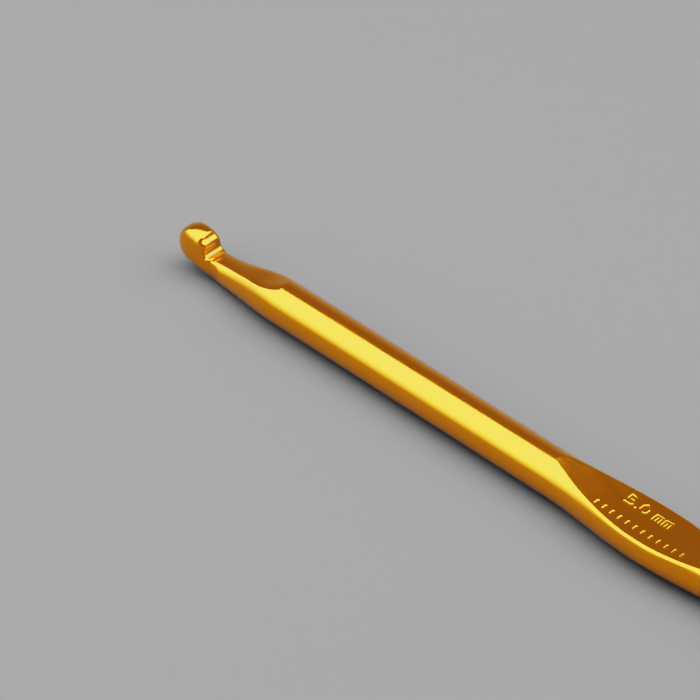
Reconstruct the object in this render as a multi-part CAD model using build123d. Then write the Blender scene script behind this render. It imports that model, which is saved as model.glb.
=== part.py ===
from build123d import *
import math
import os

# A crochet hook of one drawn aluminium bar, lying on Z = 0 with its mouth and thumb rest facing +Z.
# X runs from the hook's tip to the end of the handle. All lengths are in millimetres.

# Driving dimensions
overall_length = 150.0
shaft_diameter = 5.0
thumb_rest_centre = 66.0      # from the tip
thumb_rest_length = 25.5
thumb_rest_width = 6.7
thumb_rest_thickness = 2.7

# The bar
shaft_radius = shaft_diameter / 2
tip_x = -overall_length / 2
axis_z = shaft_radius

# The hook's head is a ball that stands a little above the bar's axis
ball_radius = 0.44 * shaft_diameter
ball_rise = 0.16 * shaft_diameter

# The throat is the bar's thinnest stretch, and it hangs below the axis
throat_radius = 0.32 * shaft_diameter
throat_drop = 0.12 * shaft_diameter

# Distances from the tip
throat = 1.10 * shaft_diameter
taper_end = 3.05 * shaft_diameter

# The crest of the head falls as a quarter of an ellipse, and drops to the throat at its end
crest_length = 0.58 * shaft_diameter
crest_hold = 4.0
neck_stations = 8
taper_stations = 5

# Each side of the head is pressed to a nearly flat cheek, which runs back into the neck
cheek_half_width = 0.336 * shaft_diameter
cheek_rise = 0.024 * shaft_diameter
cheek_radius = 2.00 * shaft_diameter
cheek_middle = 0.46 * shaft_diameter
neck_start = 0.90 * shaft_diameter
neck_end = 1.00 * shaft_diameter
neck_flare_radius = 0.60 * shaft_diameter
neck_flare_length = 0.44 * shaft_diameter

# The mouth, seen from the side: a small step down to a sloping lip, a near-upright wall, a rounded corner,
# a ramp, a short landing and a shoulder up to the shaft
step = 0.75 * shaft_diameter
step_foot = 0.47 * shaft_diameter
lip = 0.862 * shaft_diameter
lip_height = 0.41 * shaft_diameter
lip_edge_radius = 0.05 * shaft_diameter
wall_foot = 0.82 * shaft_diameter
mouth_floor_height = 0.10 * shaft_diameter
mouth_corner_radius = 0.17 * shaft_diameter
ramp_end = 2.46 * shaft_diameter
ramp_end_height = 0.385 * shaft_diameter
landing_end = taper_end - 0.30 * shaft_diameter
landing_height = 0.40 * shaft_diameter
shoulder_height = 0.53 * shaft_diameter
shoulder_radius = 0.10 * shaft_diameter
above_bar = shaft_diameter

# The head and the throat meet on a slanted plane that runs down from the mouth's rounded corner
head_seam = wall_foot + mouth_corner_radius
seam_lean = 20.0

# The thumb rest and the handle
thumb_rest_stations = 9
thinnest_flat = 0.02
hollow_length = thumb_rest_length - 0.5
butt_edge_radius = 0.42 * shaft_diameter


def at(distance, height=0.0):
    """The point on the bar's middle plane, from the distance behind the tip and height above the axis."""
    return Vector(tip_x + distance, 0, axis_z + height)


def across(distance, height=0.0):
    """The plane square to the bar at that point, with its own X along the bar's width."""
    return Plane(origin=at(distance, height), x_dir=(0, 1, 0), z_dir=(1, 0, 0))


def round_bar(start, end):
    """The plain round bar between two distances from the tip."""
    return extrude(across(start) * Circle(shaft_radius), end - start)


def ease(fraction):
    """A smooth climb from 0 to 1 that starts and ends level."""
    return fraction**2 * (3 - 2 * fraction)


def blend(first, last, share):
    """The value that share of the way from first to last."""
    return first + (last - first) * share


def round_section(distance, top, bottom):
    """The round section whose top and bottom stand at those heights above the axis."""
    return across(distance, (top + bottom) / 2) * Circle((top - bottom) / 2)


def crest_height(distance):
    """The height of the head's crest behind the middle of the ball."""
    along = (distance - ball_radius) / crest_length
    return ball_rise + ball_radius * math.sqrt(max(1 - along**2, 0))


def front_blank():
    """The ball and the tapering throat before the cheeks are pressed and the mouth is cut."""
    head_bottom = ball_rise - ball_radius
    throat_top = throat_radius - throat_drop
    throat_bottom = -throat_radius - throat_drop
    neck = []
    for index in range(neck_stations + 1):
        fraction = index / neck_stations
        distance = blend(ball_radius, throat, fraction)
        top = blend(crest_height(distance), throat_top, ease(fraction**crest_hold))
        bottom = blend(head_bottom, throat_bottom, ease(fraction))
        neck.append(round_section(distance, top, bottom))
    taper = []
    for index in range(taper_stations + 1):
        fraction = index / taper_stations
        distance = blend(throat, taper_end, fraction)
        top = blend(throat_top, shaft_radius, ease(fraction))
        bottom = blend(throat_bottom, -shaft_radius, ease(fraction))
        taper.append(round_section(distance, top, bottom))
    ball = Pos(at(ball_radius, ball_rise)) * Sphere(ball_radius)
    nose = split(ball, bisect_by=across(ball_radius), keep=Keep.BOTTOM)
    return nose + loft(neck) + loft(taper)


def cheek(side):
    """A barrel whose skin is the cheek on one side of the head, round the neck and out to the throat."""
    neck_radius = math.sqrt(cheek_radius**2 - (neck_start - cheek_middle) ** 2)
    flare_rise = neck_flare_radius - math.sqrt(neck_flare_radius**2 - neck_flare_length**2)
    flare_end = neck_end + neck_flare_length
    widest = cheek_radius + shaft_diameter
    outline = [
        ThreePointArc(
            (cheek_middle - cheek_radius, 0),
            (cheek_middle, cheek_radius),
            (neck_start, neck_radius),
        ),
        Line((neck_start, neck_radius), (neck_end, neck_radius)),
        TangentArc((neck_end, neck_radius), (flare_end, neck_radius + flare_rise), tangent=(1, 0)),
        Polyline(
            (flare_end, neck_radius + flare_rise),
            (flare_end, widest),
            (taper_end + above_bar, widest),
            (taper_end + above_bar, 0),
            (cheek_middle - cheek_radius, 0),
        ),
    ]
    barrel = revolve(make_face(Curve() + outline), Axis.X)
    axis_offset = side * (cheek_half_width - cheek_radius)
    return Pos(tip_x, axis_offset, axis_z + cheek_rise) * barrel


def mouth_cutter():
    """Everything above the mouth's side outline: step, lip, wall, rounded corner, ramp, landing and shoulder."""
    outline = FilletPolyline(
        at(step, step_foot),
        at(lip, lip_height),
        at(wall_foot, mouth_floor_height),
        at(ramp_end, ramp_end_height),
        at(landing_end, landing_height),
        at(taper_end, shoulder_height),
        radius=[lip_edge_radius, mouth_corner_radius, shoulder_radius, shoulder_radius],
    )
    closing = Polyline(
        outline @ 1,
        at(taper_end, above_bar),
        at(step, above_bar),
        outline @ 0,
    )
    face = make_face(outline.edges() + closing.edges())
    return extrude(face, shaft_diameter, dir=(0, 1, 0), both=True)


def seam_plane():
    """The slanted plane between the head and the throat, facing the handle."""
    lean = math.radians(seam_lean)
    return Plane(
        origin=at(head_seam, mouth_floor_height),
        x_dir=(0, 1, 0),
        z_dir=(math.cos(lean), 0, -math.sin(lean)),
    )


def head_and_throat():
    """The front of the bar with its cheeks pressed and its mouth cut, as the head and the throat."""
    front = front_blank() & cheek(1) & cheek(-1)
    front = front - mouth_cutter()
    head = split(front, bisect_by=seam_plane(), keep=Keep.BOTTOM)
    rest = split(front, bisect_by=seam_plane(), keep=Keep.TOP)
    return head, rest


def thumb_rest():
    """The pressed grip: the bar, widened towards its middle, with a long shallow hollow above and below."""
    half_length = thumb_rest_length / 2
    sections = []
    for index in range(thumb_rest_stations):
        place = -1 + 2 * index / (thumb_rest_stations - 1)
        width = blend(shaft_diameter, thumb_rest_width, math.cos(place * math.pi / 2) ** 2)
        width = max(width, shaft_diameter + thinnest_flat)
        plane = across(thumb_rest_centre + place * half_length)
        sections.append(plane * SlotOverall(width, shaft_diameter))
    return loft(sections) - hollow(1) - hollow(-1)


def hollow(side):
    """The cutter for the hollow on one face of the thumb rest: +1 for the top, -1 for the bottom."""
    start = thumb_rest_centre - hollow_length / 2
    end = thumb_rest_centre + hollow_length / 2
    deepest = at(thumb_rest_centre, side * thumb_rest_thickness / 2)
    arc = ThreePointArc(at(start, side * shaft_radius), deepest, at(end, side * shaft_radius))
    outside = Polyline(
        at(end, side * shaft_radius),
        at(end, side * above_bar),
        at(start, side * above_bar),
        at(start, side * shaft_radius),
    )
    face = make_face(arc.edges() + outside.edges())
    return extrude(face, shaft_diameter, dir=(0, 1, 0), both=True)


def handle(start):
    """The round tail behind the thumb rest, with a domed end."""
    tail = round_bar(start, overall_length)
    return fillet(tail.edges().sort_by(Axis.X)[-1], butt_edge_radius)


thumb_rest_start = thumb_rest_centre - thumb_rest_length / 2
thumb_rest_end = thumb_rest_centre + thumb_rest_length / 2
hook_head, throat_piece = head_and_throat()
pieces = {
    "hook_head": hook_head,
    "throat": throat_piece,
    "shaft": round_bar(taper_end, thumb_rest_start),
    "thumb_rest": thumb_rest(),
    "handle": handle(thumb_rest_end),
}

os.makedirs("parts", exist_ok=True)
for name, solid in pieces.items():
    solid.label = name
    export_step(solid, f"parts/{name}.step")
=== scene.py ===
import math

import bpy
import numpy as np
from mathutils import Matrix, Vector


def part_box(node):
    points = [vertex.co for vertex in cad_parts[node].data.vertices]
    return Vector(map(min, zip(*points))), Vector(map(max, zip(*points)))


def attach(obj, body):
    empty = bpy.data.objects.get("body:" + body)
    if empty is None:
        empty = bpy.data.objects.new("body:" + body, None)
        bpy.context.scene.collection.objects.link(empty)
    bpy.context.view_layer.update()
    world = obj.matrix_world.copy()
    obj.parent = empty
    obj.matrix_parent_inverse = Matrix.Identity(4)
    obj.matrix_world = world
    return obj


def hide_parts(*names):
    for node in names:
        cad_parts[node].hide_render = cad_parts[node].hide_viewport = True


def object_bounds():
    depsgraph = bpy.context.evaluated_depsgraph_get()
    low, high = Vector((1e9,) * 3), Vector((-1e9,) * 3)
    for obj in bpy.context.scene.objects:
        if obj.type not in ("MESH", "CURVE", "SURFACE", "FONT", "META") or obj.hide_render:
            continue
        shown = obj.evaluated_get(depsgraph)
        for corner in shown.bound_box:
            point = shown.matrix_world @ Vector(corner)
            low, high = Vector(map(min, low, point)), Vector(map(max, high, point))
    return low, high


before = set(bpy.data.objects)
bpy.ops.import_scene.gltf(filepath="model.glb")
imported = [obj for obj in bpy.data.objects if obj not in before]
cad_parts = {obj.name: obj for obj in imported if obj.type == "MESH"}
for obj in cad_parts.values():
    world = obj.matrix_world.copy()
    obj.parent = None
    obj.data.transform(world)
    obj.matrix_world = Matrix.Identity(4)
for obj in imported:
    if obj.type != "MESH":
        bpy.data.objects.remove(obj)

cad_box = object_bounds()

# ---------------------------------------------------------------------------------------------
# Sizes. The frame is in metres. Distances run back from the hook's tip, heights from the bar's axis.
# ---------------------------------------------------------------------------------------------

mm = 0.001
shaft_low, shaft_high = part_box("shaft")
rest_low, rest_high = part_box("thumb_rest")
tip_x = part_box("hook_head")[0].x
butt_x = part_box("handle")[1].x
bar = shaft_high.z - shaft_low.z                  # the bar's diameter
bar_radius = bar / 2
axis_z = (shaft_high.z + shaft_low.z) / 2
taper_end = shaft_low.x - tip_x
rest_start = rest_low.x - tip_x
rest_end = rest_high.x - tip_x
rest_middle = (rest_start + rest_end) / 2
rest_half_width = (rest_high.y - rest_low.y) / 2
hook_length = butt_x - tip_x

# The hollow pressed into each face of the thumb rest is an arc along the bar
rest_half_thickness = 0.27 * bar
rest_edge_radius = 0.035 * bar
rest_edge_fade = 0.2                              # the share of the half length over which it fades out
hollow_half_length = (rest_end - rest_start - 0.1 * bar) / 2
hollow_depth = bar_radius - rest_half_thickness
hollow_radius = (hollow_half_length**2 + hollow_depth**2) / (2 * hollow_depth)
hollow_centre = rest_half_thickness + hollow_radius

# A plain size and a row of ticks are engraved in the upper hollow. All of these but the depth are in
# millimetres, along the bar and across it from the middle of the thumb rest.
mark_depth = 0.03 * mm
stroke = 0.12                                     # half the width of an engraved line
groove_floor = 0.4 * stroke                       # half the width of the line's level floor
groove_side = 1.2 * stroke                        # the width of each side of the line, up from the floor
first_tick = -6
last_tick = 5
tick_row = -1.55
tick_half_length = 0.22
size_start = -4.2
size_row = 0.55
letter_step = 1.2                                 # from the first letter m to the second
mark_margin = 0.6                                 # how far the fine mesh runs past the end ticks

# The head is a ball that stands a little above the bar's axis
ball_radius = 0.44 * bar
ball_rise = 0.16 * bar

# Its sides are pressed to nearly flat cheeks, which leave a crease on each side of the crest, run back
# round the neck and flare out to the throat
cheek_half_width = 0.336 * bar
cheek_height = 0.024 * bar
cheek_radius = 2.00 * bar
cheek_middle = 0.46 * bar
neck_start = 0.90 * bar
neck_end = 1.00 * bar
neck_flare_radius = 0.60 * bar
neck_flare_length = 0.44 * bar
crease_radius = 0.10 * bar

# The throat is the thinnest stretch, and it hangs below the axis
throat_at = 1.10 * bar
throat_radius = 0.32 * bar
throat_drop = 0.12 * bar
crest_length = 0.58 * bar                         # the crest falls as the quarter of an ellipse this long
crest_hold = 4.0                                  # above 1, the crest stays high for longer before it drops

# The mouth's side outline: a small step down to a sloping lip, the wall, a ramp, a short landing and
# a shoulder up to the shaft
step_at = 0.75 * bar
step_foot = 0.47 * bar
step_radius = 0.01 * bar
lip = 0.862 * bar
lip_height = 0.41 * bar
lip_edge_radius = 0.05 * bar
wall_foot_at = 0.82 * bar
mouth_floor = 0.10 * bar
mouth_corner_radius = 0.17 * bar
ramp_end = 2.46 * bar
ramp_end_height = 0.385 * bar
landing_end = taper_end - 0.30 * bar
landing_height = 0.40 * bar
shoulder_height = 0.53 * bar
shoulder_radius = 0.10 * bar
flat_edge_radius = 0.07 * bar

# The slanted plane where the head's mesh meets the throat's
seam_at = wall_foot_at + mouth_corner_radius
seam_lean = math.radians(20)

# The head's rings swing about a line above the mouth, from the seam over to the crest
crest_lean = math.radians(81)
pivot_height = 0.72 * bar
pivot = np.array(
    (tip_x + seam_at + (pivot_height - mouth_floor) * math.tan(seam_lean), 0.0, axis_z + pivot_height)
)

# Milled finish and painted shade cover the mouth's cut faces, fading out below them and along the ramp
milled_and_shade_depth = 0.04 * mm
milled_and_shade_end = 1.45 * bar
milled_and_shade_fade = 0.45 * bar

# Mesh fineness: points round each ring, the search for them along rays, and rings along each piece
around = 256
ray_length = 1.1 * bar
ray_probes = 110
ray_halvings = 26
swing_length = 2 * bar
swing_probes = 4000
head_rings = 130
throat_rings = 90
throat_swing_rings = 24
shaft_rings = 24
rest_front_rings = 34
rest_marked_rings = 250
rest_back_rings = 38
handle_rings = 40
dome_rings = 24
dome_turn = 0.495 * math.pi                       # the last ring of the dome stands just short of its pole


def ease(share):
    """A smooth climb from 0 to 1, level at both ends and held outside them."""
    share = np.clip(share, 0, 1)
    return share**2 * (3 - 2 * share)


def blend(first, last, share):
    """The value that share of the way from first to last."""
    return first + (last - first) * share


# ---------------------------------------------------------------------------------------------
# The bar as a field: negative inside the metal, zero on its surface
# ---------------------------------------------------------------------------------------------


def round_union(a, b, radius):
    """The nearer of two fields, with a fillet of that radius where they meet."""
    inner = np.hypot(np.maximum(radius - a, 0), np.maximum(radius - b, 0))
    return np.maximum(radius, np.minimum(a, b)) - inner


def round_cut(a, b, radius):
    """The overlap of two fields, with its edge rounded to that radius."""
    outer = np.hypot(np.maximum(radius + a, 0), np.maximum(radius + b, 0))
    return np.minimum(-radius, np.maximum(a, b)) + outer


def above_line(distance, height, first, last):
    """How far a point stands above the line through two (distance, height) points."""
    along = (last[0] - first[0], last[1] - first[1])
    length = math.hypot(*along)
    return ((height - first[1]) * along[0] - (distance - first[0]) * along[1]) / length


def mouth_field(distance, height):
    """Positive in the open space above the mouth's side outline."""
    wall_foot = (wall_foot_at, mouth_floor)
    ramp_top = (ramp_end, ramp_end_height)
    landing_top = (landing_end, landing_height)
    step = distance - step_at
    lip_slope = above_line(distance, height, (step_at, step_foot), (lip, lip_height))
    wall = -above_line(distance, height, wall_foot, (lip, lip_height))
    ramp = above_line(distance, height, wall_foot, ramp_top)
    landing = above_line(distance, height, ramp_top, landing_top)
    shoulder = above_line(distance, height, landing_top, (taper_end, shoulder_height))
    head_side = round_cut(wall, round_union(step, lip_slope, step_radius), lip_edge_radius)
    floor_side = round_union(round_cut(ramp, landing, shoulder_radius), shoulder, shoulder_radius)
    return round_union(head_side, floor_side, mouth_corner_radius)


def section(distance):
    """The top and bottom of the uncut bar's round section, behind the middle of the ball."""
    to_throat = np.clip((distance - ball_radius) / (throat_at - ball_radius), 0, 1)
    to_shaft = (distance - throat_at) / (taper_end - throat_at)
    along_crest = np.clip((distance - ball_radius) / crest_length, 0, 1)
    crest = ball_rise + ball_radius * np.sqrt(1 - along_crest**2)
    top = blend(crest, throat_radius - throat_drop, ease(to_throat**crest_hold))
    bottom = blend(ball_rise - ball_radius, -throat_radius - throat_drop, ease(to_throat))
    top = blend(top, bar_radius, ease(to_shaft))
    bottom = blend(bottom, -bar_radius, ease(to_shaft))
    return top, bottom


def front_field(x, y, z):
    """The head, the throat and the start of the shaft."""
    distance = x - tip_x
    height = z - axis_z
    top, bottom = section(distance)
    nose = np.maximum(ball_radius - distance, 0)
    blank = np.sqrt(nose**2 + y**2 + (height - (top + bottom) / 2) ** 2) - (top - bottom) / 2
    bulge = np.sqrt(cheek_radius**2 - (np.clip(distance, 0, neck_start) - cheek_middle) ** 2)
    flare = np.sqrt(neck_flare_radius**2 - np.clip(distance - neck_end, 0, neck_flare_length) ** 2)
    flare_slope = neck_flare_length / math.sqrt(neck_flare_radius**2 - neck_flare_length**2)
    past_flare = np.maximum(distance - neck_end - neck_flare_length, 0)
    reach = bulge + neck_flare_radius - flare + flare_slope * past_flare
    cheeks = np.hypot(np.abs(y) + cheek_radius - cheek_half_width, height - cheek_height) - reach
    blank = round_cut(blank, cheeks, crease_radius)
    return round_cut(blank, mouth_field(distance, height), flat_edge_radius)


def line_distance(x, y, start, end):
    """How far points stand from a straight stroke."""
    run = (end[0] - start[0], end[1] - start[1])
    along = np.clip(((x - start[0]) * run[0] + (y - start[1]) * run[1]) / (run[0] ** 2 + run[1] ** 2), 0, 1)
    return np.hypot(x - start[0] - along * run[0], y - start[1] - along * run[1])


def size_strokes():
    """The straight strokes of the engraved size, 5.0 mm, as pairs of points."""
    five = [(0.9, 1.2), (0, 1.2), (0, 0.65), (0.6, 0.65), (0.9, 0.45), (0.9, 0.2), (0.6, 0), (0, 0)]
    point = [(1.35, 0), (1.36, 0)]
    zero_left = [(2.1, 0), (1.8, 0.3), (1.8, 0.9), (2.1, 1.2)]
    zero_right = [(2.4, 1.2), (2.7, 0.9), (2.7, 0.3), (2.4, 0), (2.1, 0)]
    first_m = [(3.6, 0), (3.6, 0.8), (4.0, 0.8), (4.0, 0), (4.0, 0.8), (4.4, 0.8), (4.4, 0)]
    second_m = [(along + letter_step, up) for along, up in first_m]
    strokes = []
    for outline in (five, point, zero_left + zero_right, first_m, second_m):
        for start, end in zip(outline, outline[1:]):
            strokes.append([(along + size_start, up + size_row) for along, up in (start, end)])
    return strokes


def engraving(x, y):
    """The engraved depth at points of the thumb rest, which are given in metres from its middle."""
    x = x / mm
    y = y / mm
    tick_at = np.round(np.clip(x, first_tick, last_tick))
    tick_start = (0, tick_row - tick_half_length)
    tick_end = (0, tick_row + tick_half_length)
    nearest = line_distance(x - tick_at, y, tick_start, tick_end)
    for start, end in size_strokes():
        nearest = np.minimum(nearest, line_distance(x, y, start, end))
    return mark_depth * (1 - ease((nearest - groove_floor) / groove_side))


def rest_field(x, y, z):
    """The thumb rest: the bar widened towards its middle, hollowed above and below, with its marks on top."""
    distance = x - tip_x
    place = np.clip((distance - rest_middle) / (rest_end - rest_middle), -1, 1)
    half_width = blend(bar_radius, rest_half_width, np.cos(place * math.pi / 2) ** 2)
    beyond = np.maximum(np.abs(y) - (half_width - bar_radius), 0)
    sides = np.hypot(beyond, z - axis_z) - bar_radius
    hollow = np.hypot(distance - rest_middle, np.abs(z - axis_z) - hollow_centre) - hollow_radius
    marks = np.where(z > axis_z, engraving(distance - rest_middle, y), 0)
    edge_radius = rest_edge_radius * ease((1 - np.abs(place)) / rest_edge_fade)
    return round_cut(sides, -hollow, edge_radius) + marks


def tail_field(x, y, z):
    """The round bar and its domed end."""
    dome_start = butt_x - bar_radius
    return np.hypot(np.maximum(x - dome_start, 0), np.hypot(y, z - axis_z)) - bar_radius


def slope(field, points):
    """Unit normals: the direction in which the field rises fastest."""
    step = 0.0005 * mm
    rise = []
    for axis in range(3):
        offset = np.zeros(3)
        offset[axis] = step
        rise.append(field(*(points + offset).T) - field(*(points - offset).T))
    normals = np.array(rise).T
    return normals / np.linalg.norm(normals, axis=1, keepdims=True)


# ---------------------------------------------------------------------------------------------
# Meshes: rings of points found on the field, then joined into a closed skin
# ---------------------------------------------------------------------------------------------


def find_ring(field, centre, down):
    """A ring round the bar in the plane of Y and down, as points on the field's surface."""
    turn = np.arange(around) * 2 * math.pi / around
    rays = np.cos(turn)[:, None] * down + np.sin(turn)[:, None] * np.array((0.0, 1.0, 0.0))
    steps = np.linspace(0, ray_length, ray_probes)
    probes = centre + rays[:, None, :] * steps[None, :, None]
    outside = field(*probes.reshape(-1, 3).T).reshape(around, -1) > 0
    first = np.maximum(outside.argmax(axis=1), 1)
    near, far = steps[first - 1], steps[first]
    for _ in range(ray_halvings):
        half = (near + far) / 2
        out = field(*(centre + rays * half[:, None]).T) > 0
        far = np.where(out, half, far)
        near = np.where(out, near, half)
    return centre + rays * far[:, None]


def upright_rings(field, distances):
    """Rings square to the bar. In front, they are centred in the metal that is left under the mouth."""
    down = np.array((0.0, 0.0, -1.0))
    rings = []
    for distance in distances:
        centre = np.array((tip_x + distance, 0.0, axis_z))
        if field is front_field:
            bottom = section(distance)[1]
            centre[2] += bottom / 2
        rings.append(find_ring(field, centre, down))
    return rings


def swing_rings(first_lean, last_lean, count):
    """Rings in planes that swing about the pivot, each one centred in the metal that its plane meets."""
    rings = []
    for lean in np.linspace(first_lean, last_lean, count):
        down = np.array((-math.sin(lean), 0.0, -math.cos(lean)))
        reach = np.linspace(0, swing_length, swing_probes)
        inside = np.nonzero(front_field(*(pivot + reach[:, None] * down).T) < 0)[0]
        centre = pivot + down * (reach[inside[0]] + reach[inside[-1]]) / 2
        rings.append(find_ring(front_field, centre, down))
    return rings


def skin(name, field, rings, apex=None):
    """A closed mesh over rings of points. A flat cap closes each open end, or apex does at the last ring."""
    count = len(rings)
    side = np.concatenate(rings)
    start_centre = rings[0].mean(axis=0)
    end_centre = rings[-1].mean(axis=0) if apex is None else apex
    points = np.concatenate([side, [start_centre, end_centre]])
    faces = []
    for ring in range(count - 1):
        base = ring * around
        for index in range(around):
            after = (index + 1) % around
            faces.append((base + index, base + after, base + around + after, base + around + index))
    start_index, end_index = len(side), len(side) + 1
    last = (count - 1) * around
    for index in range(around):
        after = (index + 1) % around
        faces.append((start_index, after, index))
        faces.append((end_index, last + index, last + after))
    mesh = bpy.data.meshes.new(name)
    mesh.from_pydata(points.tolist(), [], faces)
    mesh.update()
    side_normals = slope(field, side)
    outward = np.cross(side[1] - side[0], side[around] - side[0]) @ side_normals[0]
    if outward < 0:
        mesh.flip_normals()
    start_normal = flat_normal(rings[0], (rings[0] - rings[1]).mean(axis=0))
    end_normal = flat_normal(rings[-1], (rings[-1] - rings[-2]).mean(axis=0))
    corner_normals = []
    for polygon in mesh.polygons:
        for vertex in polygon.vertices:
            if start_index in polygon.vertices:
                corner_normals.append(start_normal)
            elif end_index in polygon.vertices and apex is None:
                corner_normals.append(end_normal)
            elif vertex >= start_index:
                corner_normals.append(end_normal)
            else:
                corner_normals.append(side_normals[vertex])
    # The mask of the mouth's cut faces: it makes them rougher and paints shade into their colour
    milled_and_shade = np.zeros(len(points))
    if field is front_field:
        distance = points[:, 0] - tip_x
        cut_depth = mouth_field(distance, points[:, 2] - axis_z)
        milled_and_shade = ease(1 + cut_depth / milled_and_shade_depth) * ease((milled_and_shade_end - distance) / milled_and_shade_fade)
    mesh.attributes.new("milled_and_shade", "FLOAT", "POINT").data.foreach_set("value", milled_and_shade)
    mesh.polygons.foreach_set("use_smooth", [True] * len(mesh.polygons))
    mesh.normals_split_custom_set([tuple(normal) for normal in corner_normals])
    piece = bpy.data.objects.new(name, mesh)
    bpy.context.scene.collection.objects.link(piece)
    return piece


def flat_normal(ring, outward):
    """The unit normal of a flat ring, on the outward side."""
    quarter = around // 4
    normal = np.cross(ring[quarter] - ring[0], ring[2 * quarter] - ring[0])
    normal = normal / np.linalg.norm(normal)
    return normal if normal @ outward > 0 else -normal


def make_head():
    """The ball, its cheeks, the lip and the mouth's wall, closed at the crest."""
    rings = swing_rings(seam_lean, crest_lean, head_rings)
    return skin("hook_head_metal", front_field, rings, rings[-1].mean(axis=0))


def make_throat():
    """The taper, the ramp and the mouth's corner, up to the seam with the head."""
    upright = upright_rings(front_field, np.linspace(taper_end, pivot[0] - tip_x, throat_rings))
    swung = swing_rings(0.0, seam_lean, throat_swing_rings)
    return skin("throat_metal", front_field, upright + swung[1:])


def make_shaft():
    """The plain round stretch between the throat and the thumb rest."""
    distances = np.linspace(taper_end, rest_start, shaft_rings)
    return skin("shaft_metal", tail_field, upright_rings(tail_field, distances))


def make_thumb_rest():
    """The thumb rest's mesh, finer along the engraved stretch."""
    marked_start = rest_middle + (first_tick - mark_margin) * mm
    marked_end = rest_middle + (last_tick + mark_margin) * mm
    plain_before = np.linspace(rest_start, marked_start, rest_front_rings)
    marked = np.linspace(marked_start, marked_end, rest_marked_rings)
    plain_after = np.linspace(marked_end, rest_end, rest_back_rings)
    distances = np.concatenate([plain_before, marked[1:], plain_after[1:]])
    return skin("thumb_rest_metal", rest_field, upright_rings(rest_field, distances))


def make_handle():
    """The round tail behind the thumb rest, closed by its dome."""
    dome_start = hook_length - bar_radius
    straight = np.linspace(rest_end, dome_start, handle_rings)
    dome = dome_start + bar_radius * np.sin(np.linspace(0, dome_turn, dome_rings))[1:]
    rings = upright_rings(tail_field, np.concatenate([straight, dome]))
    return skin("handle_metal", tail_field, rings, np.array((butt_x, 0.0, axis_z)))


# ---------------------------------------------------------------------------------------------
# Material
# ---------------------------------------------------------------------------------------------

gold = (1.0, 0.37, 0.008, 1.0)
# A darker, duller gold: painted shade on the mouth's cut faces, in the recess
painted_shade_gold = (0.62, 0.29, 0.03, 1.0)
polished_roughness = 0.10
worn_roughness = 0.16
milled_dulling = 0.20                             # how much rougher the milled faces are
drawing_line_depth = 0.0015 * mm


def stretched_noise(nodes, links, along, across, detail):
    """Noise in the frame's own axes, with that many features per metre along the bar and across it."""
    place = nodes.new("ShaderNodeTexCoord")
    stretch = nodes.new("ShaderNodeMapping")
    stretch.inputs["Scale"].default_value = (along, across, across)
    noise = nodes.new("ShaderNodeTexNoise")
    noise.inputs["Scale"].default_value = 1.0
    noise.inputs["Detail"].default_value = detail
    links.new(place.outputs["Object"], stretch.inputs["Vector"])
    links.new(stretch.outputs["Vector"], noise.inputs["Vector"])
    return noise.outputs["Fac"]


def gold_anodised():
    """Bright gold anodised aluminium: fine drawing lines, slight wear, and a rougher milled mouth darkened by
    painted shade.
    """
    material = bpy.data.materials.new("gold_anodised_aluminium")
    material.use_nodes = True
    nodes = material.node_tree.nodes
    links = material.node_tree.links
    shader = nodes["Principled BSDF"]
    shader.inputs["Metallic"].default_value = 1.0
    shader.inputs["Coat Weight"].default_value = 1.0
    shader.inputs["Coat IOR"].default_value = 1.45
    shader.inputs["Coat Roughness"].default_value = 0.12

    wear = nodes.new("ShaderNodeMapRange")
    wear.inputs["From Min"].default_value = 0.3
    wear.inputs["From Max"].default_value = 0.7
    wear.inputs["To Min"].default_value = polished_roughness
    wear.inputs["To Max"].default_value = worn_roughness
    wear_noise = stretched_noise(nodes, links, along=300, across=1800, detail=4)
    links.new(wear_noise, wear.inputs["Value"])
    milled_and_shade = nodes.new("ShaderNodeAttribute")
    milled_and_shade.attribute_name = "milled_and_shade"
    dulling = nodes.new("ShaderNodeMath")
    dulling.operation = "MULTIPLY_ADD"
    dulling.inputs[1].default_value = milled_dulling
    links.new(milled_and_shade.outputs["Fac"], dulling.inputs[0])
    links.new(wear.outputs["Result"], dulling.inputs[2])
    links.new(dulling.outputs[0], shader.inputs["Roughness"])
    # Painted shade: the mouth's cut faces take the darker gold in place of the plain gold
    shade = nodes.new("ShaderNodeMix")
    shade.data_type = "RGBA"
    shade.inputs["A"].default_value = gold
    shade.inputs["B"].default_value = painted_shade_gold
    links.new(milled_and_shade.outputs["Fac"], shade.inputs["Factor"])
    links.new(shade.outputs["Result"], shader.inputs["Base Color"])

    lines = nodes.new("ShaderNodeBump")
    lines.inputs["Strength"].default_value = 0.5
    lines.inputs["Distance"].default_value = drawing_line_depth
    line_noise = stretched_noise(nodes, links, along=40, across=9000, detail=3)
    links.new(line_noise, lines.inputs["Height"])
    links.new(lines.outputs["Normal"], shader.inputs["Normal"])
    return material


# ---------------------------------------------------------------------------------------------
# Stage, lights and camera
# ---------------------------------------------------------------------------------------------

view_azimuth = math.radians(44.6)
view_elevation = math.radians(40)
camera_lens = 212.7
camera_distance = 425                             # this and the two aims are in millimetres
aim_behind_tip = 25.0
aim_shift = 0.54                                  # a small shift that places the hook as in the photograph
aim_shift_direction = Vector((0, -0.763, -0.647))
away = Vector((-math.sin(view_azimuth), math.cos(view_azimuth), 0))
back = Vector((0, 0, math.sin(view_elevation))) - away * math.cos(view_elevation)

floor_half_size = 3.0
floor_grey = (0.2, 0.2, 0.2, 1)

arch_radius = 0.6
arch_near_end = -0.3
arch_far_end = 0.338
arch_middle = tip_x + 35 * mm
arch_angles = np.radians(np.linspace(1, 150, 61))
glow_rises_from = math.radians(1)
glow_rises_to = math.radians(31)
glow_at_foot = 0.55
glow_overhead = 2.75

room_at_horizon = 0.36
room_overhead = 0.22
room_levels_at = 0.6


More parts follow.
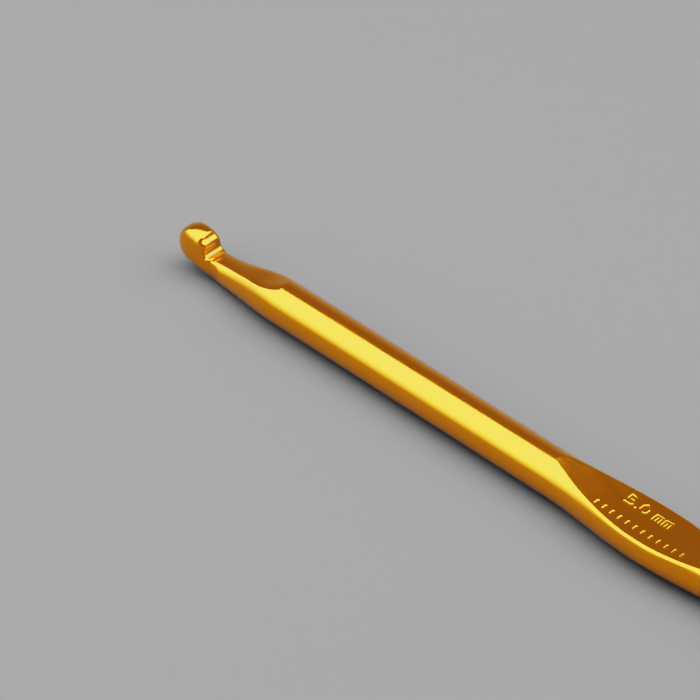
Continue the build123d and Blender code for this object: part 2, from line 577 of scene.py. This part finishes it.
def make_camera():
    """A long lens at the photograph's viewing angle."""
    data = bpy.data.cameras.new("camera")
    data.sensor_width = 36
    data.lens = camera_lens
    camera = bpy.data.objects.new("camera", data)
    bpy.context.scene.collection.objects.link(camera)
    along = Vector((1, 0, 0))
    target = Vector((tip_x, 0, axis_z)) + along * aim_behind_tip * mm + aim_shift_direction * aim_shift * mm
    camera.location = target + back * camera_distance * mm
    camera.rotation_mode = "QUATERNION"
    camera.rotation_quaternion = (-back).to_track_quat("-Z", "Y")
    data.clip_start = 0.01
    bpy.context.scene.camera = camera


def make_floor():
    """A plain matt surface that the hook lies on."""
    mesh = bpy.data.meshes.new("floor")
    half = floor_half_size
    corners = [(-half, -half, 0), (half, -half, 0), (half, half, 0), (-half, half, 0)]
    mesh.from_pydata(corners, [], [(0, 1, 2, 3)])
    floor = bpy.data.objects.new("floor", mesh)
    bpy.context.scene.collection.objects.link(floor)
    floor.location.z = cad_box[0].z
    material = bpy.data.materials.new("floor_grey")
    material.use_nodes = True
    shader = material.node_tree.nodes["Principled BSDF"]
    shader.inputs["Base Color"].default_value = floor_grey
    shader.inputs["Roughness"].default_value = 0.9
    shader.inputs["Specular IOR Level"].default_value = 0.2
    mesh.materials.append(material)


def make_light_arch():
    """A soft light that arches over the hook from the left to the right, dimmer near its left foot."""
    points = []
    for turn in arch_angles:
        for reach in (arch_near_end, arch_far_end):
            points.append((-arch_radius * math.cos(turn), reach, arch_radius * math.sin(turn)))
    faces = [(2 * n, 2 * n + 1, 2 * n + 3, 2 * n + 2) for n in range(len(arch_angles) - 1)]
    mesh = bpy.data.meshes.new("light_arch")
    mesh.from_pydata(points, [], faces)
    arch = bpy.data.objects.new("light_arch", mesh)
    bpy.context.scene.collection.objects.link(arch)
    arch.location = (arch_middle, 0, 0)
    arch.rotation_euler.z = view_azimuth
    material = bpy.data.materials.new("light_arch")
    material.use_nodes = True
    nodes = material.node_tree.nodes
    links = material.node_tree.links
    nodes.clear()
    place = nodes.new("ShaderNodeTexCoord")
    parts = nodes.new("ShaderNodeSeparateXYZ")
    angle = nodes.new("ShaderNodeMath")
    angle.operation = "ARCTAN2"
    flip = nodes.new("ShaderNodeMath")
    flip.operation = "MULTIPLY"
    flip.inputs[1].default_value = -1
    glow = nodes.new("ShaderNodeMapRange")
    glow.interpolation_type = "SMOOTHSTEP"
    glow.inputs["From Min"].default_value = glow_rises_from
    glow.inputs["From Max"].default_value = glow_rises_to
    glow.inputs["To Min"].default_value = glow_at_foot
    glow.inputs["To Max"].default_value = glow_overhead
    emission = nodes.new("ShaderNodeEmission")
    output = nodes.new("ShaderNodeOutputMaterial")
    links.new(place.outputs["Object"], parts.inputs[0])
    links.new(parts.outputs["X"], flip.inputs[0])
    links.new(parts.outputs["Z"], angle.inputs[0])
    links.new(flip.outputs[0], angle.inputs[1])
    links.new(angle.outputs[0], glow.inputs["Value"])
    links.new(glow.outputs[0], emission.inputs["Strength"])
    links.new(emission.outputs[0], output.inputs["Surface"])
    mesh.materials.append(material)
    arch.visible_camera = False


def make_world():
    """A dim room, a little lighter near the horizon."""
    world = bpy.data.worlds.new("room")
    world.use_nodes = True
    nodes = world.node_tree.nodes
    links = world.node_tree.links
    place = nodes.new("ShaderNodeTexCoord")
    parts = nodes.new("ShaderNodeSeparateXYZ")
    shade = nodes.new("ShaderNodeMapRange")
    shade.inputs["From Min"].default_value = 0.0
    shade.inputs["From Max"].default_value = room_levels_at
    shade.inputs["To Min"].default_value = room_at_horizon
    shade.inputs["To Max"].default_value = room_overhead
    links.new(place.outputs["Generated"], parts.inputs[0])
    links.new(parts.outputs["Z"], shade.inputs["Value"])
    links.new(shade.outputs[0], nodes["Background"].inputs["Strength"])
    nodes["Background"].inputs["Color"].default_value = (1, 1, 1, 1)
    bpy.context.scene.world = world


metal = gold_anodised()
makers = {
    "hook_head": make_head,
    "throat": make_throat,
    "shaft": make_shaft,
    "thumb_rest": make_thumb_rest,
    "handle": make_handle,
}
for node, make in makers.items():
    piece = make()
    piece.data.materials.append(metal)
    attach(piece, "root")
    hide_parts(node)

make_camera()
make_floor()
make_world()
make_light_arch()
bpy.context.scene.view_settings.view_transform = "Filmic"
bpy.context.scene.view_settings.look = "Very High Contrast"
bpy.context.scene.cycles.caustics_reflective = False
